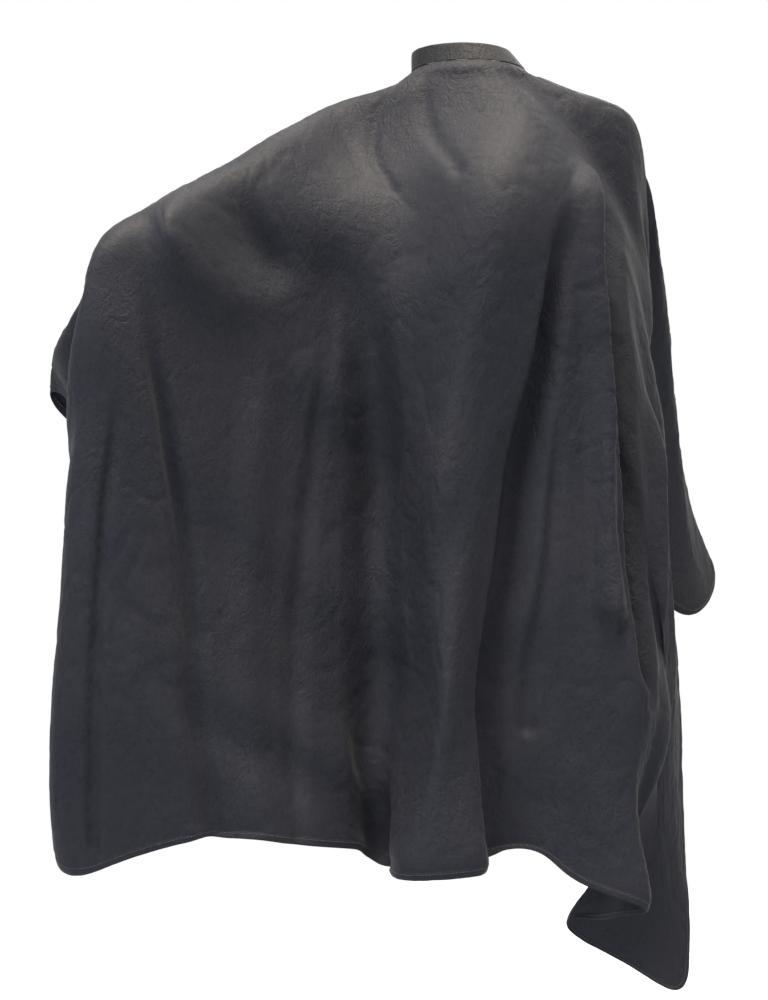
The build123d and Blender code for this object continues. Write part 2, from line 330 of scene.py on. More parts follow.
def baked_enamel(name, dark, light):
    """Black enamel on the caps, worn a little to the metal's grey."""
    made = Nodes(name)
    wear = made.noise(700, detail=5, roughness=0.75)
    made.colour(made.ramp(wear, [(0.35, dark), (0.62, dark), (0.82, light)]))
    made.roughness(made.scale_range(wear, 0.22, 0.45, source=(0.35, 0.8)))
    made.bumps((made.noise(1100, detail=4), 0.02 * MM))
    made.set(Coat_Weight=0.4, Coat_Roughness=0.15)
    return made.material


CLOTH = crinkle_nylon("cape_nylon", (0.0092, 0.0108, 0.0168), (0.0130, 0.0142, 0.0198), (0.023, 0.024, 0.029, 1))
BAND_CLOTH = crinkle_nylon("band_nylon", (0.0105, 0.0115, 0.0150), (0.0145, 0.0150, 0.0180), (0.024, 0.025, 0.027, 1))
THREAD = twisted_thread("charcoal_thread", (0.028, 0.029, 0.034), (0.085, 0.084, 0.082))
FELT = pressed_felt("white_interlining", (0.55, 0.54, 0.50), (0.82, 0.81, 0.77))
RIBBON = satin_ribbon("label_ribbon", (0.60, 0.59, 0.56), (0.86, 0.85, 0.82))
NICKEL = plated_metal("nickel_plate", (0.48, 0.46, 0.43), (0.74, 0.72, 0.69), 5)
SPRING_STEEL = plated_metal("spring_steel", (0.38, 0.37, 0.36), (0.62, 0.61, 0.60), 2)
ENAMEL = baked_enamel("black_enamel", (0.012, 0.012, 0.013), (0.22, 0.21, 0.20))


# =====================================================================================
# Cloth: cut flat, guided down onto a wearer's form and left to settle
# =====================================================================================
def cut_outline(inset, step):
    """The edge of the cut, from one side of the back slit round the sheet to the other."""
    points = []

    def line(start, end):
        count = max(1, round(math.dist(start, end) / step))
        for i in range(count):
            part = i / count
            points.append((start[0] + (end[0] - start[0]) * part, start[1] + (end[1] - start[1]) * part))

    def corner(centre_x, centre_y, start, end):
        radius = CORNER_RADIUS - inset
        count = max(2, round(abs(end - start) * radius / step))
        for i in range(count):
            angle = start + (end - start) * i / count
            points.append((centre_x + radius * math.cos(angle), centre_y + radius * math.sin(angle)))

    side = SHEET_WIDTH / 2 - inset
    front = FRONT_LENGTH - inset
    back = BACK_LENGTH - inset
    slit = SLIT_HALF_WIDTH + inset
    bend_x = SHEET_WIDTH / 2 - CORNER_RADIUS
    bend_front = FRONT_LENGTH - CORNER_RADIUS
    bend_back = BACK_LENGTH - CORNER_RADIUS
    quarter = math.pi / 2
    slit_top = math.sqrt(NECK_HOLE**2 - slit**2)
    line((slit, slit_top), (slit, back))
    line((slit, back), (bend_x, back))
    corner(bend_x, bend_back, quarter, 0)
    line((side, bend_back), (side, -bend_front))
    corner(bend_x, -bend_front, 0, -quarter)
    line((bend_x, -front), (-bend_x, -front))
    corner(-bend_x, -bend_front, -quarter, -2 * quarter)
    line((-side, -bend_front), (-side, bend_back))
    corner(-bend_x, bend_back, -2 * quarter, -3 * quarter)
    line((-bend_x, back), (-slit, back))
    line((-slit, back), (-slit, slit_top))
    points.append((-slit, slit_top))
    return points


def neck_arc(step):
    """The neck hole's edge, from one side of the slit round the front to the other."""
    lean = math.acos(SLIT_HALF_WIDTH / NECK_HOLE)
    start, end = math.pi - lean, 2 * math.pi + lean
    count = round((end - start) * NECK_HOLE / step)
    angles = [start + (end - start) * i / count for i in range(1, count)]
    return [(NECK_HOLE * math.cos(a), NECK_HOLE * math.sin(a)) for a in angles]


def on_the_cut(x, y, margin):
    """True where a point is on the cut cloth, at least this far in from every edge."""
    side, front, back = SHEET_WIDTH / 2 - margin, FRONT_LENGTH - margin, BACK_LENGTH - margin
    if abs(x) > side or y < -front or y > back:
        return False
    if math.hypot(x, y) < NECK_HOLE + margin:
        return False
    if y > 0 and abs(x) < SLIT_HALF_WIDTH + margin:
        return False
    over_x = abs(x) - (SHEET_WIDTH / 2 - CORNER_RADIUS)
    over_y = (y - BACK_LENGTH if y > 0 else -y - FRONT_LENGTH) + CORNER_RADIUS
    return not (over_x > 0 and over_y > 0 and math.hypot(over_x, over_y) > CORNER_RADIUS - margin)


def cut_cloth(step):
    """The flat cut as an even triangle mesh, with a line of points where the hem turns."""
    edge = cut_outline(0.0, step)
    around = edge + neck_arc(step)
    hem = cut_outline(HEM_WIDTH, step)
    edges = [(i, (i + 1) % len(around)) for i in range(len(around))]
    edges += [(len(around) + i, len(around) + i + 1) for i in range(len(hem) - 1)]
    inner = []
    row_height = step * math.sqrt(3) / 2
    for row in range(int(SHEET_LENGTH / row_height) + 1):
        shift = step / 2 * (row % 2)
        y = -FRONT_LENGTH + row * row_height
        for column in range(int(SHEET_WIDTH / step) + 1):
            x = -SHEET_WIDTH / 2 + shift + column * step
            if on_the_cut(x, y, HEM_WIDTH + 0.45 * step):
                inner.append((x, y))
    points = [Vector(p) for p in around + hem + inner]
    points, _, faces, *_ = delaunay_2d_cdt(points, edges, [], 0, 1e-6)
    flat = np.array([tuple(p) for p in points])
    kept = [face for face in faces if on_the_cut(*flat[list(face)].mean(axis=0), 0.0)]
    used = sorted({i for face in kept for i in face})
    place = {old: new for new, old in enumerate(used)}
    return flat[used], [[place[i] for i in face] for face in kept]


# Where parts of the cut come to rest: (across, along) on the flat sheet, then x, y, z.
ARM_ALONG = (-0.731, -0.682)  # the raised arm's direction on the flat sheet


def along_arm(distance):
    return (ARM_ALONG[0] * distance, ARM_ALONG[1] * distance)


# The top of the cloth along the raised arm: how far from the neck on the sheet, then x, y, z.
ARM_RIDGE = [
    (0.183, (-0.145, -0.050, -0.053)),
    (0.284, (-0.207, -0.117, -0.097)),
    (0.373, (-0.257, -0.176, -0.140)),
    (0.462, (-0.308, -0.236, -0.182)),
    (0.550, (-0.360, -0.294, -0.224)),
    (0.600, (-0.390, -0.328, -0.250)),
]
BESIDE_ARM = 0.070
BESIDE_ARM_OUT = 0.040
BESIDE_ARM_DOWN = 0.056


def beside_the_arm():
    """Places that make the cloth turn down on both sides of the arm."""
    places = []
    for distance, (x, y, z) in ARM_RIDGE[:-1]:
        for side in (1, -1):
            across, along = along_arm(distance)
            sheet_place = (across - ARM_ALONG[1] * BESIDE_ARM * side, along + ARM_ALONG[0] * BESIDE_ARM * side)
            out = BESIDE_ARM_OUT * side
            places.append((sheet_place, (x + 0.749 * out, y - 0.662 * out, z - BESIDE_ARM_DOWN)))
    return places


GUIDED_PLACES = [
    # the side that hangs off the arm's end
    (along_arm(0.660), (-0.405, -0.340, -0.300)),
    ((-0.542, -0.349), (-0.437, -0.275, -0.348)),
    ((-0.635, -0.280), (-0.464, -0.200, -0.406)),
    ((-0.635, -0.350), (-0.435, -0.215, -0.425)),
    ((-0.635, -0.430), (-0.405, -0.210, -0.500)),
    ((-0.635, -0.540), (-0.395, -0.190, -0.605)),
    ((-0.500, -0.560), (-0.425, -0.320, -0.405)),
    ((-0.500, -0.685), (-0.427, -0.310, -0.524)),
    ((-0.515, -0.890), (-0.440, -0.310, -0.731)),
    ((-0.535, -1.010), (-0.442, -0.290, -0.874)),
    # the front hem, from the arm's side to the long corner
    ((-0.470, -1.030), (-0.421, -0.320, -0.912)),
    ((-0.410, -1.030), (-0.364, -0.335, -0.893)),
    ((-0.330, -1.030), (-0.288, -0.320, -0.872)),
    ((-0.175, -1.030), (-0.157, -0.240, -0.895)),
    ((-0.091, -1.030), (-0.103, -0.180, -0.917)),
    ((-0.028, -1.030), (-0.088, -0.240, -0.930)),
    ((0.024, -1.030), (-0.040, -0.260, -0.927)),
    ((0.078, -1.030), (0.010, -0.240, -0.924)),
    ((0.150, -1.030), (0.021, -0.170, -0.914)),
    ((0.190, -1.030), (0.062, -0.170, -0.909)),
    ((0.240, -1.030), (0.101, -0.180, -0.936)),
    ((0.336, -1.030), (0.188, -0.200, -0.971)),
    ((0.478, -1.030), (0.108, -0.090, -1.012)),
    ((0.575, -1.030), (0.202, -0.080, -1.073)),
    ((0.625, -0.985), (0.246, -0.060, -1.090)),
    ((0.635, -0.735), (0.254, -0.030, -0.855)),
    ((0.635, -0.555), (0.247, 0.000, -0.678)),
    # shoulder and chest
    ((0.205, -0.020), (0.193, 0.000, -0.056)),
    ((0.140, 0.000), (0.135, 0.000, -0.036)),
    ((0.000, -0.160), (0.000, -0.105, -0.082)),
    ((0.000, -0.250), (-0.002, -0.168, -0.146)),
    ((0.000, -0.318), (-0.004, -0.196, -0.208)),
    ((0.110, -0.300), (0.092, -0.168, -0.198)),
    ((-0.110, -0.275), (-0.103, -0.136, -0.190)),
    # the long hollow between the arm's cloth and the body's
    ((-0.125, -0.345), (-0.125, -0.155, -0.256)),
    ((-0.107, -0.600), (-0.108, -0.140, -0.495)),
    ((-0.098, -0.830), (-0.105, -0.165, -0.726)),
    # the plane that falls from the arm
    ((-0.270, -0.370), (-0.250, -0.215, -0.256)),
    ((-0.265, -0.610), (-0.250, -0.250, -0.495)),
    ((-0.285, -0.820), (-0.270, -0.290, -0.696)),
    # the middle ridge, the hollow beside it and the next ridge
    ((-0.010, -0.600), (-0.040, -0.205, -0.506)),
    ((0.010, -0.830), (-0.040, -0.235, -0.726)),
    ((0.110, -0.600), (0.045, -0.165, -0.495)),
    ((0.140, -0.830), (0.035, -0.165, -0.716)),
    ((0.190, -0.290), (0.150, -0.105, -0.196)),
    ((0.250, -0.530), (0.165, -0.135, -0.465)),
    ((0.290, -0.785), (0.180, -0.170, -0.716)),
    # the folds below the right shoulder, round to the back corner
    ((0.300, -0.220), (0.215, -0.010, -0.276)),
    ((0.460, -0.370), (0.232, -0.005, -0.475)),
    ((0.548, -0.235), (0.165, 0.075, -0.435)),
    ((0.599, -0.130), (0.245, 0.115, -0.446)),
    ((0.619, -0.022), (0.170, 0.180, -0.435)),
    ((0.611, 0.087), (0.255, 0.200, -0.446)),
    ((0.574, 0.190), (0.190, 0.243, -0.425)),
    ((0.208, 0.161), (0.205, 0.060, -0.111)),
    ((0.406, 0.250), (0.268, 0.170, -0.295)),
    ((0.507, 0.286), (0.285, 0.230, -0.415)),
    ((0.615, 0.475), (0.335, 0.220, -0.652)),
    ((0.560, 0.494), (0.298, 0.180, -0.684)),
]
GUIDED_PLACES += [(along_arm(distance), point) for distance, point in ARM_RIDGE] + beside_the_arm()
LOOSE_PLACES = [
    # the back and the side behind the arm, which are held only lightly
    ((-0.635, 0.000), (-0.345, -0.160, -0.596)),
    ((-0.635, 0.250), (-0.270, -0.030, -0.676)),
    ((-0.615, 0.475), (-0.250, 0.120, -0.626)),
    ((-0.450, 0.494), (-0.190, 0.170, -0.556)),
    ((-0.300, 0.494), (-0.125, 0.190, -0.485)),
    ((-0.150, 0.494), (-0.060, 0.195, -0.441)),
    ((0.000, 0.494), (0.000, 0.185, -0.415)),
    ((0.150, 0.494), (0.065, 0.190, -0.435)),
    ((0.300, 0.494), (0.140, 0.185, -0.495)),
    ((0.450, 0.494), (0.220, 0.250, -0.556)),
    ((0.000, 0.200), (0.000, 0.110, -0.085)),
    ((-0.130, 0.150), (-0.120, 0.090, -0.075)),
    ((0.130, 0.150), (0.120, 0.090, -0.066)),
    ((-0.620, -0.970), (-0.400, -0.210, -0.866)),
    ((-0.635, -0.750), (-0.380, -0.150, -0.716)),
]
NECK_PLACES = [
    (polar(NECK_HOLE, angle)[:2], polar(SEAM_RADIUS, angle, SEAM_HEIGHT)) for angle in range(105, 450, 30)
]
GUIDE_REACH = 0.15
GUIDE_STRENGTH = 0.5
LOOSE_STRENGTH = 0.15
SPREAD_SOFTNESS = 0.05


def distances(first, second):
    return np.sqrt(((first[:, None] - second[None]) ** 2).sum(axis=2))


def spread(flat_places, values, flat):
    """Values given at a few places on the cut, carried smoothly over all of it."""
    sources = np.array(flat_places)
    count = len(sources)

    def kernel(points):
        return np.sqrt(distances(points, sources) ** 2 + SPREAD_SOFTNESS**2)

    def slope(points):
        return np.column_stack([np.ones(len(points)), points])

    system = np.zeros((count + 3, count + 3))
    system[:count, :count] = kernel(sources)
    system[:count, count:] = slope(sources)
    system[count:, :count] = slope(sources).T
    known = np.vstack([np.array(values), np.zeros((3, 3))])
    weights = np.linalg.solve(system, known)
    return kernel(flat) @ weights[:count] + slope(flat) @ weights[count:]


def guide_weights(flat):
    """How firmly each point of the cloth is drawn to its resting place while it falls."""
    weights = np.zeros(len(flat))
    for places, strength in ((GUIDED_PLACES, GUIDE_STRENGTH), (LOOSE_PLACES, LOOSE_STRENGTH)):
        nearest = distances(flat, np.array([place for place, _ in places])).min(axis=1)
        weights = np.maximum(weights, strength * np.exp(-((nearest / GUIDE_REACH) ** 2)))
    return weights


def link_mesh(name, points, faces):
    mesh = bpy.data.meshes.new(name)
    mesh.from_pydata([tuple(p) for p in points], [], [tuple(f) for f in faces])
    mesh.update()
    made = bpy.data.objects.new(name, mesh)
    bpy.context.scene.collection.objects.link(made)
    return made


def remove(thing):
    mesh = thing.data
    bpy.data.objects.remove(thing)
    bpy.data.meshes.remove(mesh)


def apply_modifiers(thing):
    """Put what the modifiers make into the mesh itself."""
    graph = bpy.context.evaluated_depsgraph_get()
    mesh = bpy.data.meshes.new_from_object(thing.evaluated_get(graph))
    thing.modifiers.clear()
    thing.data = mesh


def mesh_points(mesh):
    points = np.empty(len(mesh.vertices) * 3)
    mesh.vertices.foreach_get("co", points)
    return points.reshape(-1, 3)


# The wearer's form: balls, and rows of balls for limbs, that are only there to catch the cloth.
FORM_BALLS = [
    ((0, 0, -0.26), (0.175, 0.115, 0.20)),
    ((0, 0, -0.40), (0.150, 0.110, 0.25)),
    ((0, 0, -0.75), (0.175, 0.125, 0.25)),
    ((-0.045, -0.095, -0.215), (0.065, 0.065, 0.060)),
    ((0.070, -0.095, -0.215), (0.075, 0.070, 0.060)),
    ((0, -0.035, -0.17), (0.13, 0.085, 0.12)),
    ((0, 0.05, -0.20), (0.15, 0.08, 0.16)),
]
FORM_LIMBS = [
    # start, end, radius at the start and at the end
    ((0, 0, -0.18), (0, 0, 0.13), 0.058, 0.058),
    ((0, 0.01, -0.060), (0.153, 0.010, -0.097), 0.050, 0.036),
    ((0, 0.01, -0.060), (-0.148, 0.0, -0.112), 0.050, 0.045),
    ((-0.140, -0.045, -0.098), (-0.380, -0.318, -0.281), 0.042, 0.022),
]
LIMB_BALLS = 16


def wearers_form():
    builder = bmesh.new()

    def ball(centre, radii):
        place = Matrix.LocRotScale(Vector(centre), None, Vector(radii))
        bmesh.ops.create_uvsphere(builder, u_segments=24, v_segments=14, radius=1, matrix=place)

    for centre, radii in FORM_BALLS:
        ball(centre, radii)
    for start, end, start_radius, end_radius in FORM_LIMBS:
        for i in range(LIMB_BALLS + 1):
            part = i / LIMB_BALLS
            radius = start_radius + (end_radius - start_radius) * part
            ball(Vector(start).lerp(Vector(end), part), (radius, radius, radius))
    mesh = bpy.data.meshes.new("form")
    builder.to_mesh(mesh)
    builder.free()
    form = bpy.data.objects.new("form", mesh)
    bpy.context.scene.collection.objects.link(form)
    remesh = form.modifiers.new("remesh", "REMESH")
    remesh.mode = "VOXEL"
    remesh.voxel_size = 0.010
    smooth = form.modifiers.new("smooth", "SMOOTH")
    smooth.factor = 0.5
    smooth.iterations = 8
    apply_modifiers(form)
    form.modifiers.new("collision", "COLLISION")
    form.collision.thickness_outer = 0.004
    form.collision.thickness_inner = 0.02
    form.collision.cloth_friction = 30
    form.collision.damping = 0.3
    return form


SETTLE_FRAMES = 150
GATHERED_FRAME = 12
GUIDED_FRAME = 50
RELEASE_FRAME = 70
RELEASED_FRAME = 90


def shape_keys(sheet, flat, ring):
    """The flat cut, and the gathered neck with the guided resting places as the goal."""
    sheet.shape_key_add(name="flat")
    goal = sheet.shape_key_add(name="goal")
    places = GUIDED_PLACES + LOOSE_PLACES + NECK_PLACES
    rest = spread([place for place, _ in places], [point for _, point in places], flat)
    turn = np.arctan2(flat[:, 1], flat[:, 0])
    rest[ring, 0] = SEAM_RADIUS * np.cos(turn[ring])
    rest[ring, 1] = SEAM_RADIUS * np.sin(turn[ring])
    rest[ring, 2] = SEAM_HEIGHT
    goal.data.foreach_set("co", rest.ravel())
    for value, frame_number in ((0, 1), (1, GUIDED_FRAME)):
        goal.value = value
        goal.keyframe_insert("value", frame=frame_number)
    curve = sheet.data.shape_keys.animation_data.action.fcurves[0]
    for key in curve.keyframe_points:
        key.interpolation = "LINEAR"
    curve.update()


def cloth_settings(sheet):
    modifier = sheet.modifiers.new("cloth", "CLOTH")
    settings = modifier.settings
    settings.quality = 6
    settings.mass = 0.012
    settings.tension_stiffness = 30
    settings.compression_stiffness = 30
    settings.shear_stiffness = 5
    settings.bending_stiffness = 0.3
    settings.tension_damping = 5
    settings.compression_damping = 5
    settings.shear_damping = 5
    settings.bending_damping = 0.5
    settings.vertex_group_mass = "guided"
    for value, frame_number in ((8, 1), (8, RELEASE_FRAME), (3, RELEASED_FRAME)):
        settings.pin_stiffness = value
        settings.keyframe_insert("pin_stiffness", frame=frame_number)
    for value, frame_number in ((0.3, 1), (0.3, RELEASED_FRAME + 10), (1.0, RELEASED_FRAME + 30)):
        settings.air_damping = value
        settings.keyframe_insert("air_damping", frame=frame_number)
    modifier.collision_settings.distance_min = 0.004
    modifier.collision_settings.collision_quality = 3
    modifier.collision_settings.use_self_collision = False
    modifier.point_cache.frame_start = 1
    modifier.point_cache.frame_end = SETTLE_FRAMES


def drape(flat, faces):
    """Let the flat cut fall over the form, and give back where its points come to rest."""
    sheet = link_mesh("sheet", [(x, y, SEAM_HEIGHT) for x, y in flat], faces)
    ring = np.where(np.hypot(flat[:, 0], flat[:, 1]) < NECK_HOLE * 1.004)[0]
    shape_keys(sheet, flat, ring)
    group = sheet.vertex_groups.new(name="guided")
    for index, weight in enumerate(guide_weights(flat)):
        group.add([index], float(weight), "REPLACE")
    group.add([int(i) for i in ring], 1.0, "REPLACE")
    form = wearers_form()
    cloth_settings(sheet)
    scene = bpy.context.scene
    scene.frame_start = 1
    scene.frame_end = SETTLE_FRAMES
    for frame_number in range(1, SETTLE_FRAMES + 1):
        scene.frame_set(frame_number)
    settled = sheet.evaluated_get(bpy.context.evaluated_depsgraph_get())
    points = mesh_points(settled.data)
    scene.frame_set(1)
    remove(sheet)
    remove(form)
    return points


SMOOTHING_ROUNDS = 7
SMOOTHING_SHARE = 0.5


def relax(points, faces, fixed):
    """Average each point with its neighbours a few times, so that only soft folds are left."""
    edges = np.array(sorted({tuple(sorted(pair)) for a, b, c in faces for pair in ((a, b), (b, c), (c, a))}))
    sides = {}
    for face in faces:
        for i in range(3):
            key = tuple(sorted((face[i], face[(i + 1) % 3])))
            sides[key] = sides.get(key, 0) + 1
    rim_edges = np.array([edge for edge, count in sides.items() if count == 1])
    on_rim = np.zeros(len(points), bool)
    on_rim[rim_edges.ravel()] = True
    edges = np.vstack([edges[~(on_rim[edges[:, 0]] | on_rim[edges[:, 1]])], rim_edges,
                       edges[on_rim[edges[:, 0]] ^ on_rim[edges[:, 1]]]])
    first, second = edges[:, 0], edges[:, 1]
    inner_pull = ~on_rim
    points = points.copy()
    for _ in range(SMOOTHING_ROUNDS):
        total = np.zeros_like(points)
        count = np.zeros(len(points))
        for source, target in ((first, second), (second, first)):
            counted = inner_pull[target] | on_rim[source]
            np.add.at(total, target[counted], points[source[counted]])
            np.add.at(count, target[counted], 1)
        mean = total / np.maximum(count, 1)[:, None]
        moved = points + (mean - points) * SMOOTHING_SHARE
        moved[fixed] = points[fixed]
        points = moved
    return points


# Places below the arm that fill out a dent which the settled cloth has and the real one hasn't.
FILLED_PLACES = [
    ((-0.235, -0.350), (-0.220, -0.196, -0.235)),
    ((-0.250, -0.395), (-0.217, -0.198, -0.283)),
    ((-0.250, -0.450), (-0.218, -0.208, -0.337)),
    ((-0.175, -0.350), (-0.171, -0.170, -0.250)),
    ((-0.200, -0.400), (-0.176, -0.172, -0.300)),
    ((-0.200, -0.460), (-0.175, -0.178, -0.358)),
    ((-0.128, -0.388), (-0.121, -0.152, -0.298)),
]
FINAL_PULL = 0.9


def straighten(flat, points):
    """Move the settled cloth smoothly the last stretch towards its resting places."""
    places = [place for place, _ in GUIDED_PLACES + FILLED_PLACES]
    wanted = np.array([point for _, point in GUIDED_PLACES + FILLED_PLACES])
    nearest = distances(np.array(places), flat).argmin(axis=1)
    change = (wanted - points[nearest]) * FINAL_PULL
    still = [place for place, _ in NECK_PLACES]
    return points + spread(places + still, np.vstack([change, np.zeros((len(still), 3))]), flat)


# =====================================================================================
# The draped surface, as something that later pieces can be laid on
# =====================================================================================
def subdivided(points, faces, levels):
    thing = link_mesh("fine", points, faces)
    subdivide = thing.modifiers.new("subdivide", "SUBSURF")
    subdivide.levels = levels
    apply_modifiers(thing)
    mesh = thing.data
    fine = mesh_points(mesh)
    quads = [tuple(polygon.vertices) for polygon in mesh.polygons]
    remove(thing)
    return fine, quads


def point_normals(points, quads):
    """The mean direction of the faces round each point."""
    corners = np.array(quads)
    diagonal = points[corners[:, 2]] - points[corners[:, 0]]
    other = points[corners[:, 3]] - points[corners[:, 1]]
    face_normals = np.cross(diagonal, other)
    normals = np.zeros_like(points)
    for column in range(4):
        np.add.at(normals, corners[:, column], face_normals)
    return normals / np.maximum(np.linalg.norm(normals, axis=1), 1e-12)[:, None]


class Surface:
    """The draped cloth's middle, found from places on the flat cut."""

    def __init__(self, flat, points, quads):
        self.flat = np.column_stack([flat[:, :2], np.zeros(len(flat))])
        self.points = points
        self.normals = point_normals(points, quads)
        self.triangles = [t for a, b, c, d in quads for t in ((a, b, c), (a, c, d))]
        self.tree = BVHTree.FromPolygons([Vector(p) for p in self.flat], self.triangles)

    def at(self, across, along, lift=0.0):
        """The point over a place on the cut, raised from the cloth's middle towards its outside."""
        place, _, index, _ = self.tree.find_nearest(Vector((across, along, 0)))
        corners = self.triangles[index]
        flat = [Vector(self.flat[i]) for i in corners]
        point = barycentric_transform(place, *flat, *[Vector(self.points[i]) for i in corners])
        if lift:
            normal = barycentric_transform(place, *flat, *[Vector(self.normals[i]) for i in corners])
            point = point + normal.normalized() * lift
        return point


def crease_lines(place, size, width=0.16):
    """From 0 in the creases of a crushed cloth to 1 between them."""
    bend = noise.noise_vector(place / (size * 1.4)) * size * 0.6
    level = abs(noise.noise((place + bend) / size))
    return smooth_step(level, 0.0, width)


def crinkle(across, along):
    """How far the crushed cloth stands off its smooth surface at a place on the cut."""
    place = Vector((across, along * 0.62, 0.0))
    vigour = 0.8 + 0.7 * noise.noise(place / 0.19)
    swell = noise.fractal(place / 0.060, 1.0, 2.0, 4) * 1.7 * MM
    large = (crease_lines(place, 0.042) - 0.7) * 1.3 * MM
    small = (crease_lines(place + Vector((3, 7, 0)), 0.019) - 0.7) * 0.8 * MM
    return (swell + large + small) * vigour * 0.7


# Folds: a line on the sheet from its start to its end, half-widths at both, how far out (+) or in (-)
# it goes, and which side is the steep one (-1 left, 0 neither, 1 right).
FOLDS = [
    # the hollow between the arm's cloth and the body's
    ([(-0.122, -0.340), (-0.110, -0.600), (-0.100, -1.030)], (0.042, 0.046), -0.020, 0),
    # the hollow on the right of the middle ridge
    ([(0.128, -0.285), (0.115, -0.600), (0.118, -1.030)], (0.030, 0.046), -0.030, -1),
    ([(0.155, -0.500), (0.165, -0.660), (0.175, -0.880)], (0.012, 0.016), -0.006, 0),
    # the crisp ridge below the shoulder, and the drop beside it
    ([(0.145, -0.150), (0.160, -0.270), (0.220, -0.500), (0.252, -0.720)], (0.032, 0.038), 0.020, 1),
    ([(0.192, -0.160), (0.208, -0.280), (0.270, -0.510), (0.315, -0.760)], (0.036, 0.052), -0.030, -1),
    # the fold that ends in the long corner
    ([(0.330, -0.350), (0.400, -0.600), (0.430, -1.030)], (0.030, 0.045), 0.012, 1),
    # hanging folds in the cloth below the arm
    ([(-0.375, -0.440), (-0.365, -0.540), (-0.330, -0.670), (-0.310, -0.800), (-0.315, -1.030)], (0.020, 0.030), -0.012, 1),
    ([(-0.410, -0.560), (-0.425, -0.780), (-0.440, -1.010)], (0.014, 0.018), -0.007, -1),
    ([(-0.175, -0.420), (-0.200, -0.780), (-0.215, -1.030)], (0.016, 0.022), -0.006, 0),
    ([(-0.250, -0.420), (-0.255, -0.700), (-0.262, -1.030)], (0.030, 0.034), 0.006, 0),
    # two small folds from the neck seam down the chest
    ([(-0.060, -0.060), (-0.030, -0.200), (-0.020, -0.260)], (0.010, 0.014), -0.0032, 0),
    ([(-0.078, -0.035), (-0.088, -0.190), (-0.095, -0.260)], (0.009, 0.012), -0.0034, 0),
    # down the back
    ([(-0.120, 0.120), (-0.230, 0.494)], (0.030, 0.050), -0.014, 0),
    ([(-0.300, 0.060), (-0.420, 0.494)], (0.040, 0.060), 0.014, 0),
    ([(0.130, 0.110), (0.230, 0.494)], (0.030, 0.050), -0.014, 0),
]
STEEP_SHARE = 0.55
FOLD_START = 0.14


def fold_height(line, widths, height, steep, flat):
    """How far one fold lifts each point of the sheet."""
    places = np.array(line)
    lengths = np.linalg.norm(np.diff(places, axis=0), axis=1)
    best = np.full(len(flat), np.inf)
    side = np.zeros(len(flat))
    reached = np.zeros(len(flat))
    for i, length in enumerate(lengths):
        along = (places[i + 1] - places[i]) / length
        offset = flat[:, :2] - places[i]
        part = np.clip(offset @ along, 0, length)
        across = offset[:, 1] * along[0] - offset[:, 0] * along[1]
        away = np.linalg.norm(offset - part[:, None] * along, axis=1)
        nearer = away < best
        best[nearer] = away[nearer]
        side[nearer] = np.sign(across)[nearer]
        reached[nearer] = (lengths[:i].sum() + part)[nearer]
    share = reached / lengths.sum()
    width = widths[0] + (widths[1] - widths[0]) * share
    width = np.where(side * steep > 0, width * STEEP_SHARE, width)
    near = np.clip(1 - best / width, 0, 1)
    begun = np.clip(reached / min(FOLD_START, lengths.sum() / 3), 0, 1)
    return height * near**2 * (3 - 2 * near) * begun**2 * (3 - 2 * begun)


def fold(surface):
    """Press the long folds into the draped surface."""
    height = sum(fold_height(*made, surface.flat) for made in FOLDS)
    surface.points += surface.normals * height[:, None]


GATHER_COUNT = 46
GATHER_DEPTH = 1.3 * MM
GATHER_REACH = 0.030


def gathers(across, along):
    """Small pleats that die away from the neck seam."""
    distance = math.hypot(across, along) - NECK_HOLE
    turn = math.atan2(along, across)
    uneven = noise.noise(Vector((math.cos(turn), math.sin(turn), 0)) * 3) * 5
    fade = math.exp(-((distance / GATHER_REACH) ** 2))
    return GATHER_DEPTH * math.cos(GATHER_COUNT * turn + uneven) * fade


def crush(surface):
    """Work the crinkles and the gathers into the draped surface."""
    for index, (across, along, _) in enumerate(surface.flat):
        distance = math.hypot(across, along) - NECK_HOLE
        calm = min(1.0, 0.25 + distance / 0.03)
        height = crinkle(across, along) * calm + gathers(across, along)
        surface.points[index] += surface.normals[index] * height
    return surface


SEAM_SLOPE_ENDS = 0.005
TUCK_LENGTH = 0.024


def tuck_under_band(surface):
    """Let the neck edge run in under the band's lower edge, so that the seam is a thin dark gap."""
    for index, (across, along, _) in enumerate(surface.flat):
        distance = max(0.0, math.hypot(across, along) - NECK_HOLE)
        if distance < TUCK_LENGTH:
            point = surface.points[index]
            turn = math.degrees(math.atan2(point[1], point[0]))
            radius = BAND_OUTER + band_lean(turn, 0.0) - 1.0 * MM + distance * 0.75
            height = BAND_BOTTOM - 0.2 * MM - distance * 0.80 + gathers(across, along) * distance / TUCK_LENGTH
            seam = np.array(polar(radius, turn, height))
            held = 1 - smooth_step(distance, SEAM_SLOPE_ENDS, TUCK_LENGTH)
            surface.points[index] = point + (seam - point) * held


# =====================================================================================
# Sewn pieces
# =====================================================================================
def piece(name, points, faces, material, body, replaced=()):
    """A finished piece: smooth-shaded, riding on its body and standing for its CAD nodes."""
    made = link_mesh(name, points, faces)
    made.data.polygons.foreach_set("use_smooth", [True] * len(made.data.polygons))
    made.data.materials.append(material)
    if body:
        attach(made, body)
    if replaced:
        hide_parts(*replaced)
    return made


def tube_faces(rings, size, closed=False):
    """Faces between rings of points in a row, with flat ends unless the row closes on itself."""
    faces = []
    for i in range(rings if closed else rings - 1):
        for j in range(size):
            a, b = i * size + j, i * size + (j + 1) % size
            c, d = ((i + 1) % rings) * size + (j + 1) % size, ((i + 1) % rings) * size + j
            faces.append((a, d, c, b))
    if not closed:
        faces.append(tuple(range(size)))
        faces.append(tuple((rings - 1) * size + j for j in reversed(range(size))))
    return faces


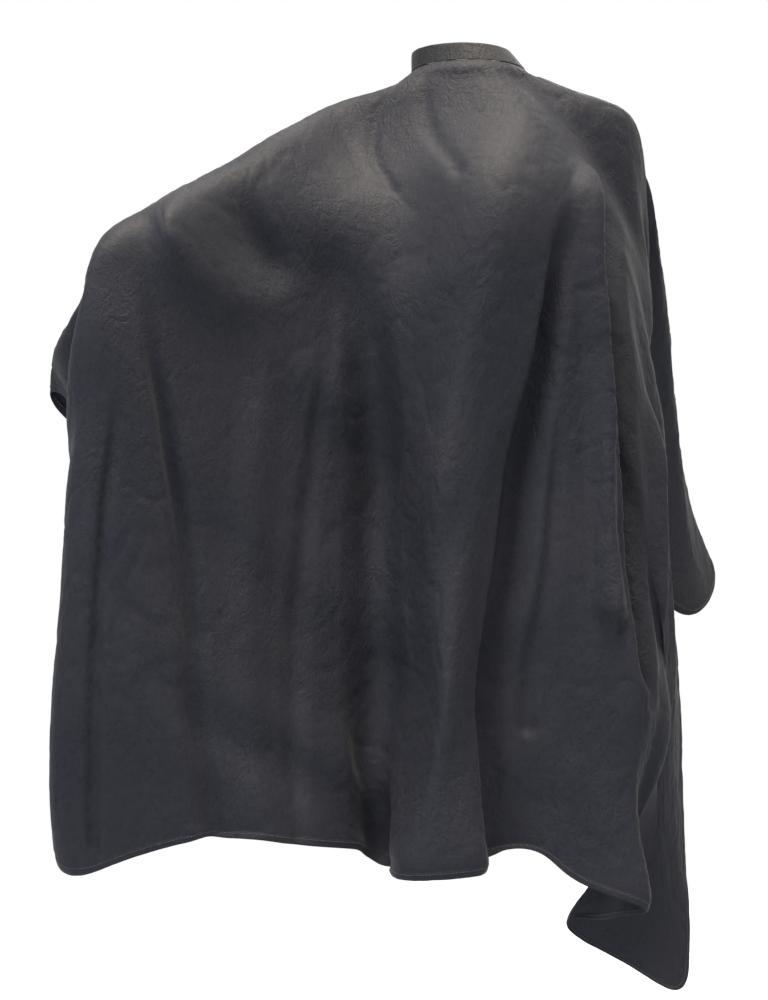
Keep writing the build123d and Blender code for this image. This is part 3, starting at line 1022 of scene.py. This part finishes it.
def hem_route(step):
    """Places along the cut's edge with the direction inwards, from slit to slit."""
    edge = [Vector(p) for p in cut_outline(0.0, step)]
    route = []
    for i, place in enumerate(edge):
        before = (place - edge[i - 1]).normalized() if i else (edge[1] - place).normalized()
        after = (edge[i + 1] - place).normalized() if i + 1 < len(edge) else before
        inward = Vector((before.y, -before.x)) + Vector((after.y, -after.x))
        share = inward.length_squared / 2
        route.append((place, inward / max(share, 0.5)))
    return route


# The hem's section: how far in from the edge, and how far out from the cloth's middle.
HEM_SECTION = [
    (7.2, 0.15), (6.6, 0.50), (5.2, 0.34), (3.6, 0.62), (1.6, 0.66), (0.3, 0.42), (-0.3, -0.1),
    (0.3, -0.66), (1.8, -0.98), (3.8, -1.0), (5.2, -0.72), (6.8, -0.80), (7.2, -0.30),
]
HEM_STEP = 5 * MM


def hem(surface):
    """The edge of the cloth, folded over twice on the inside and stitched down."""
    points = []
    route = hem_route(HEM_STEP)
    for i, (place, inward) in enumerate(route):
        pucker = 1 + 0.28 * noise.noise(Vector((i * 0.61, 0, 0)))
        width = 1 + 0.05 * noise.noise(Vector((i * 0.17, 5, 0)))
        for inset, lift in HEM_SECTION:
            at = place + inward * (inset * width * MM)
            points.append(surface.at(at.x, at.y, lift * pucker * MM))
    faces = tube_faces(len(route), len(HEM_SECTION))
    return piece("hem", points, faces, CLOTH, "cape")


STITCH_SIDES = 5
STITCH_RINGS = [(-1.0, 0.35), (-0.55, 0.95), (0.55, 0.95), (1.0, 0.35)]  # along, thickness


def stitch(points, faces, start, end, normal, thickness):
    """One short stitch lying on the cloth from start to end, pulled in at both ends."""
    first = len(points)
    middle, half = (start + end) / 2, (end - start) / 2
    along = half.normalized()
    across = along.cross(normal).normalized()
    for place, size in STITCH_RINGS:
        for side in range(STITCH_SIDES):
            turn = math.tau * side / STITCH_SIDES
            out = across * math.cos(turn) + normal * (math.sin(turn) + size - 0.7)
            points.append(middle + half * place + out * (thickness / 2 * size))
    faces.extend(tuple(first + i for i in face) for face in tube_faces(len(STITCH_RINGS), STITCH_SIDES))


def row_of_stitches(points, faces, place_at, length, pitch, thickness, share=0.74):
    """Stitches along a line; place_at gives the point and the normal at a distance along it."""
    count = int(length / pitch)
    for i in range(count):
        start, normal = place_at(i * pitch)
        end, _ = place_at((i + share) * pitch)
        stitch(points, faces, start, end, normal, thickness)


HEM_STITCH_INSET = 5.3 * MM
HEM_STITCH_PITCH = 3.4 * MM
HEM_THREAD = 0.42 * MM


def hem_stitches(surface):
    """The lockstitch row along the hem, seen on both faces of the cloth."""
    route = hem_route(HEM_STITCH_PITCH / 2)
    points, faces = [], []
    for lift in (0.45 * MM, -0.85 * MM):
        side = 1 if lift > 0 else -1
        for i in range(0, len(route) - 2, 2):
            ends = []
            for place, inward in (route[i], route[i + 1]):
                at = place + inward * HEM_STITCH_INSET
                ends.append(surface.at(at.x, at.y, lift))
            start, end = ends
            reach = (end - start) * 0.25
            above = surface.at(at.x, at.y, lift * 3)
            normal = (above - end).normalized()
            stitch(points, faces, start - reach, end + reach, normal, HEM_THREAD)
    return piece("hem_stitches", points, faces, THREAD, "cape", ("hem_thread",))


LEAN_RIGHT_TOP = -14 * MM
LEAN_RIGHT_BOTTOM = 4 * MM
LEAN_STARTS = (190, 235)
LEAN_ENDS = (395, 432)


def band_lean(degrees, rise):
    """How far the soft band leans out of true: in at the top and out below, on the right."""
    turn = (degrees - BACK_ANGLE) % 360 + BACK_ANGLE
    free = smooth_step(turn, *LEAN_STARTS) * (1 - smooth_step(turn, *LEAN_ENDS))
    right = (1 + math.cos(math.radians(turn))) / 2
    return free * right * (LEAN_RIGHT_BOTTOM + (LEAN_RIGHT_TOP - LEAN_RIGHT_BOTTOM) * rise)


def strip_section(thickness, height, steps=9):
    """A folded strip's section: soft round top and bottom, as (out, up) from its middle."""
    half, middle = thickness / 2, height / 2
    section = []
    for side in (1, -1):
        for i in range(steps):
            section.append((half * side, side * (-middle + half + (height - thickness) * i / (steps - 1))))
        for turn in (30, 60, 90, 120, 150):
            angle = math.radians(turn)
            section.append((half * side * math.cos(angle), side * (middle - half + half * math.sin(angle))))
    return section


STUD_ANGLES = [112, 127, 142, 157]
CAP_ANGLES = STUD_ANGLES[:2]
PRESS_RADIUS = 6.2 * MM
PRESS_DEPTH = 0.33 * MM


def pressed(degrees, height, radius, angles):
    """How far the snaps press the cloth in at a place on a strip."""
    depth = 0.0
    for angle in angles:
        away = math.hypot(math.radians(degrees - angle) * radius, height)
        depth = max(depth, PRESS_DEPTH * (1 - smooth_step(away, PRESS_RADIUS * 0.75, PRESS_RADIUS)))
    return depth


def strip_wrinkle(degrees, height, depth):
    place = Vector((math.radians(degrees) * 0.067, height * 0.8, 0.011))
    soft = noise.fractal(place / 0.016, 1.0, 2.0, 3)
    fine = crease_lines(place, 0.013) - 0.7
    return (soft * 0.6 + fine * 0.4) * depth


BAND_HEIGHT = BAND_TOP - BAND_BOTTOM
BAND_THICKNESS = 1.6 * MM
BAND_MIDDLE = BAND_OUTER - BAND_THICKNESS / 2
BAND_SPAN = (92.0, 448.0)
STRIP_STEP = 0.7


def angles_between(start, end, step=STRIP_STEP):
    count = max(2, round(abs(end - start) / step))
    return [start + (end - start) * i / count for i in range(count + 1)]


def neck_band():
    """Cloth folded over its stiffener, standing round the neck."""
    section = strip_section(BAND_THICKNESS, BAND_HEIGHT)
    points = []
    angles = angles_between(*BAND_SPAN)
    for degrees in angles:
        for out, up in section:
            rise = (up + BAND_HEIGHT / 2) / BAND_HEIGHT
            press = pressed(degrees, up, BAND_MIDDLE, STUD_ANGLES)
            wrinkle = strip_wrinkle(degrees, up, 0.34 * MM) if not press else 0.0
            bulge = 0.45 * MM * math.sin(math.pi * rise) * (1 if out > 0 else 0.3)
            side = 1 if out > 0 else -1
            radius = BAND_MIDDLE + out + band_lean(degrees, rise) + side * (wrinkle * 0.6 - press) + bulge * 0.5
            points.append(polar(radius, degrees, up + 0.25 * MM * noise.noise(Vector((degrees * 0.09, 1, 0)))))
    faces = tube_faces(len(angles), len(section))
    return piece("neck_band_cloth", points, faces, BAND_CLOTH, "cape", ("neck_band",))


def neck_band_stiffener():
    """The strip inside the band, following its lean."""
    section = strip_section(0.5 * MM, BAND_HEIGHT - 2.4 * MM, steps=4)
    points = []
    angles = angles_between(BAND_SPAN[0] + 1, BAND_SPAN[1] - 1, 2.0)
    for degrees in angles:
        for out, up in section:
            rise = (up + BAND_HEIGHT / 2) / BAND_HEIGHT
            points.append(polar(BAND_MIDDLE + out + band_lean(degrees, rise), degrees, up))
    faces = tube_faces(len(angles), len(section))
    replaced = ("neck_band_interlining",)
    return piece("neck_band_stiffener", points, faces, FELT, "cape", replaced)


SEAM_STITCH_PITCH = 2.6 * MM
FINE_THREAD = 0.38 * MM
SEAM_STITCH_RISE = 1.5 * MM


def seam_stitches():
    """The row that joins the cloth to the band, just above the band's lower edge."""
    points, faces = [], []
    length = math.radians(BAND_SPAN[1] - BAND_SPAN[0] - 3) * BAND_OUTER

    def on_side(out):
        def place_at(distance):
            degrees = BAND_SPAN[0] + 1.5 + math.degrees(distance / BAND_OUTER)
            height = BAND_BOTTOM + SEAM_STITCH_RISE
            lean = band_lean(degrees, SEAM_STITCH_RISE / BAND_HEIGHT)
            radius = BAND_MIDDLE + out * (BAND_THICKNESS / 2 + 0.12 * MM) + lean
            return Vector(polar(radius, degrees, height)), Vector(polar(out, degrees))
        return place_at

    for out in (1, -1):
        row_of_stitches(points, faces, on_side(out), length, SEAM_STITCH_PITCH, FINE_THREAD)
    return piece("neck_seam_stitches", points, faces, THREAD, "cape", ("neck_seam_thread",))


def bartack_stitches():
    """Dense little zigzags that lock both corners of the back opening."""
    points, faces = [], []
    radius = BAND_OUTER + 0.15 * MM
    low, high = BAND_BOTTOM + 2.2 * MM, BAND_BOTTOM + 8.2 * MM
    rows = 15
    for centre in (BAND_SPAN[0] + 1.7, BAND_SPAN[1] - 2.7):
        for i in range(rows):
            height = low + (high - low) * i / (rows - 1)
            start = Vector(polar(radius, centre - 0.65, height))
            end = Vector(polar(radius, centre + 0.65, height + 0.2 * MM))
            stitch(points, faces, start, end, Vector(polar(1, centre)), FINE_THREAD)
    return piece("bartack_stitches", points, faces, THREAD, "cape", ("bartacks",))


tab_low, tab_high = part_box("closure_tab")
TAB_THICKNESS = 1.6 * MM
TAB_MIDDLE = 70.35 * MM
TAB_SPAN = (82.0, 136.0)
TAB_CORNER = 6 * MM
TAB_LIFTS = (84.5, 91.5)  # where the tab leaves the band's face and where it reaches its own level


def tab_radius(degrees):
    """The tab's middle: on the band's outside at its root, then out over the snaps."""
    root = BAND_OUTER + 0.1 * MM + TAB_THICKNESS / 2
    return root + (TAB_MIDDLE - root) * smooth_step(degrees, *TAB_LIFTS)


def tab_half_height(degrees):
    """Half the tab's height, less where its end corners are rounded."""
    left = math.radians(TAB_SPAN[1] - degrees) * TAB_MIDDLE
    if left >= TAB_CORNER:
        return BAND_HEIGHT / 2
    drop = TAB_CORNER - math.sqrt(max(0.0, TAB_CORNER**2 - (TAB_CORNER - left) ** 2))
    return BAND_HEIGHT / 2 - drop


def bend_with_tab(made):
    """Bake a piece's placement into its mesh."""
    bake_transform(made)
    return made


def closure_tab():
    """The folded end of the band that crosses the back opening."""
    points = []
    angles = angles_between(*TAB_SPAN, 0.45)
    section = strip_section(TAB_THICKNESS, BAND_HEIGHT)
    for degrees in angles:
        share = tab_half_height(degrees) / (BAND_HEIGHT / 2)
        for out, up in section:
            press = pressed(degrees, up, TAB_MIDDLE, CAP_ANGLES)
            wrinkle = strip_wrinkle(degrees + 200, up, 0.3 * MM) if not press else 0.0
            side = 1 if out > 0 else -1
            radius = tab_radius(degrees) + out + side * (wrinkle * 0.5 - press * 0.6)
            points.append(polar(radius, degrees, up * share))
    faces = tube_faces(len(angles), len(section))
    made = piece("closure_tab_cloth", points, faces, BAND_CLOTH, None, ("closure_tab",))
    return bend_with_tab(made)


TAB_STITCH_INSET = 2.5 * MM
TAB_STITCH_PITCH = 2.4 * MM


def tab_stitches():
    """Topstitching round the tab, a little way in from its edge, on both faces."""
    points, faces = [], []
    start, end = TAB_SPAN[0] + 1.6, TAB_SPAN[1] - math.degrees(TAB_STITCH_INSET / TAB_MIDDLE)
    for out in (1, -1):
        lift = out * (TAB_THICKNESS / 2 + 0.13 * MM)

        def place(degrees, height):
            return Vector(polar(tab_radius(degrees) + lift, degrees, height))

        pitch = math.degrees(TAB_STITCH_PITCH / TAB_MIDDLE)
        for i in range(int((end - start) / pitch)):
            here = start + i * pitch
            if out < 0 and here < TAB_LIFTS[1]:
                continue
            normal = Vector(polar(out, here))
            for side in (1, -1):
                heights = [side * (tab_half_height(d) - TAB_STITCH_INSET) for d in (here, here + pitch * 0.75)]
                first, last = place(here, heights[0]), place(here + pitch * 0.75, heights[1])
                stitch(points, faces, first, last, normal, FINE_THREAD)
        for degrees in (start, end):
            if out < 0 and degrees == start:
                continue
            reach = tab_half_height(degrees) - TAB_STITCH_INSET
            count = int(2 * reach / TAB_STITCH_PITCH)
            for i in range(count):
                low = -reach + (i + 0.1) * 2 * reach / count
                high = -reach + (i + 0.85) * 2 * reach / count
                stitch(points, faces, place(degrees, low), place(degrees, high), Vector(polar(out, degrees)), FINE_THREAD)
    made = piece("closure_tab_stitches", points, faces, THREAD, None, ("closure_tab_thread",))
    return bend_with_tab(made)


label_low, label_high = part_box("care_label")
LABEL_ANGLE = 62.0
LABEL_RADIUS = 65.45 * MM
LABEL_WIDTH = 28 * MM
LABEL_DROP = label_high[2] - label_low[2]
LABEL_THICKNESS = 0.28 * MM
LABEL_CURL = 2.2 * MM


def label_point(across, down, out=0.0):
    """A point on the label: it curls a little towards the wearer at its lower corners."""
    turn = math.radians(LABEL_ANGLE)
    away = Vector((math.cos(turn), math.sin(turn), 0))
    side = Vector((-math.sin(turn), math.cos(turn), 0))
    share = down / LABEL_DROP
    edge = across / (LABEL_WIDTH / 2)
    curl = -LABEL_CURL * share**2 * (0.45 + 0.55 * edge * edge)
    ripple = 0.25 * MM * math.sin(edge * 4 + share * 3) * share
    return away * (LABEL_RADIUS + curl + ripple + out) + side * across + Vector((0, 0, label_high[2] - down))


def care_label():
    """A blank ribbon label caught in the seam, with its lower end turned under."""
    columns, rows = 18, 24
    grid = []
    for out in (LABEL_THICKNESS / 2, -LABEL_THICKNESS / 2):
        for j in range(rows + 1):
            fold = 1.9 if j >= rows - 3 else 1.0
            for i in range(columns + 1):
                across = (i / columns - 0.5) * LABEL_WIDTH
                grid.append(label_point(across, LABEL_DROP * j / rows, out * fold))
    wide = columns + 1
    layer = wide * (rows + 1)
    faces = []
    for j in range(rows):
        for i in range(columns):
            a = j * wide + i
            faces.append((a, a + 1, a + wide + 1, a + wide))
            faces.append((layer + a, layer + a + wide, layer + a + wide + 1, layer + a + 1))
    rim = [i for i in range(columns)]
    rim += [j * wide + columns for j in range(rows)]
    rim += [rows * wide + i for i in range(columns, 0, -1)]
    rim += [j * wide for j in range(rows, 0, -1)]
    for a, b in zip(rim, rim[1:] + rim[:1]):
        faces.append((b, a, a + layer, b + layer))
    return piece("care_label_ribbon", grid, faces, RIBBON, "care_label", ("care_label",))


def label_stitches():
    points, faces = [], []
    out = -LABEL_THICKNESS / 2 - 0.12 * MM
    turn = math.radians(LABEL_ANGLE)
    inward = -Vector((math.cos(turn), math.sin(turn), 0))
    for down in (2.0 * MM, LABEL_DROP - 2.4 * MM):
        for i in range(11):
            across = (i / 11 - 0.5) * (LABEL_WIDTH - 3 * MM)
            start = label_point(across, down, out)
            end = label_point(across + 1.7 * MM, down, out)
            stitch(points, faces, start, end, inward, FINE_THREAD)
    return piece("label_stitches", points, faces, THREAD, "care_label", ("label_thread",))


def finish_node(name, material):
    """Give a CAD node that stays in sight its own material."""
    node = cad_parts[name]
    if not node.material_slots:
        node.data.materials.append(material)
    for slot in node.material_slots:
        slot.material = material


def cape_cloth(flat_fine, points, quads):
    """The whole cloth as one thin sheet with a true thickness."""
    made = piece("cape_cloth", points, quads, CLOTH, None, ("cape_panel",))
    thick = made.modifiers.new("thickness", "SOLIDIFY")
    thick.thickness = CLOTH_THICKNESS
    thick.offset = 0
    apply_modifiers(made)
    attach(made, "cape")
    return made


# =====================================================================================
# Making everything
# =====================================================================================
add_camera()
add_lights()
add_floor()

flat, faces = cut_cloth(MESH_STEP)
draped = drape(flat, faces)
ring = np.where(np.hypot(flat[:, 0], flat[:, 1]) < NECK_HOLE * 1.004)[0]
draped = straighten(flat, relax(draped, faces, ring))
fine_points, quads = subdivided(draped, faces, 2)
fine_flat, _ = subdivided([(x, y, 0) for x, y in flat], faces, 2)
surface = Surface(fine_flat, fine_points, quads)
fold(surface)
surface.normals = point_normals(surface.points, quads)
crush(surface)
tuck_under_band(surface)
surface.normals = point_normals(surface.points, quads)

cape = cape_cloth(fine_flat, surface.points, quads)
hem_piece = hem(surface)
hem_thread = hem_stitches(surface)
band = neck_band()
neck_band_stiffener()
seam_stitches()
bartack_stitches()
closure_tab()
tab_stitches()
label = care_label()
label_thread = label_stitches()

finish_node("closure_tab_interlining", FELT)
finish_node("snap_eyelets", NICKEL)
finish_node("snap_studs", NICKEL)
finish_node("snap_sockets", NICKEL)
finish_node("snap_springs", SPRING_STEEL)
finish_node("snap_caps", ENAMEL)
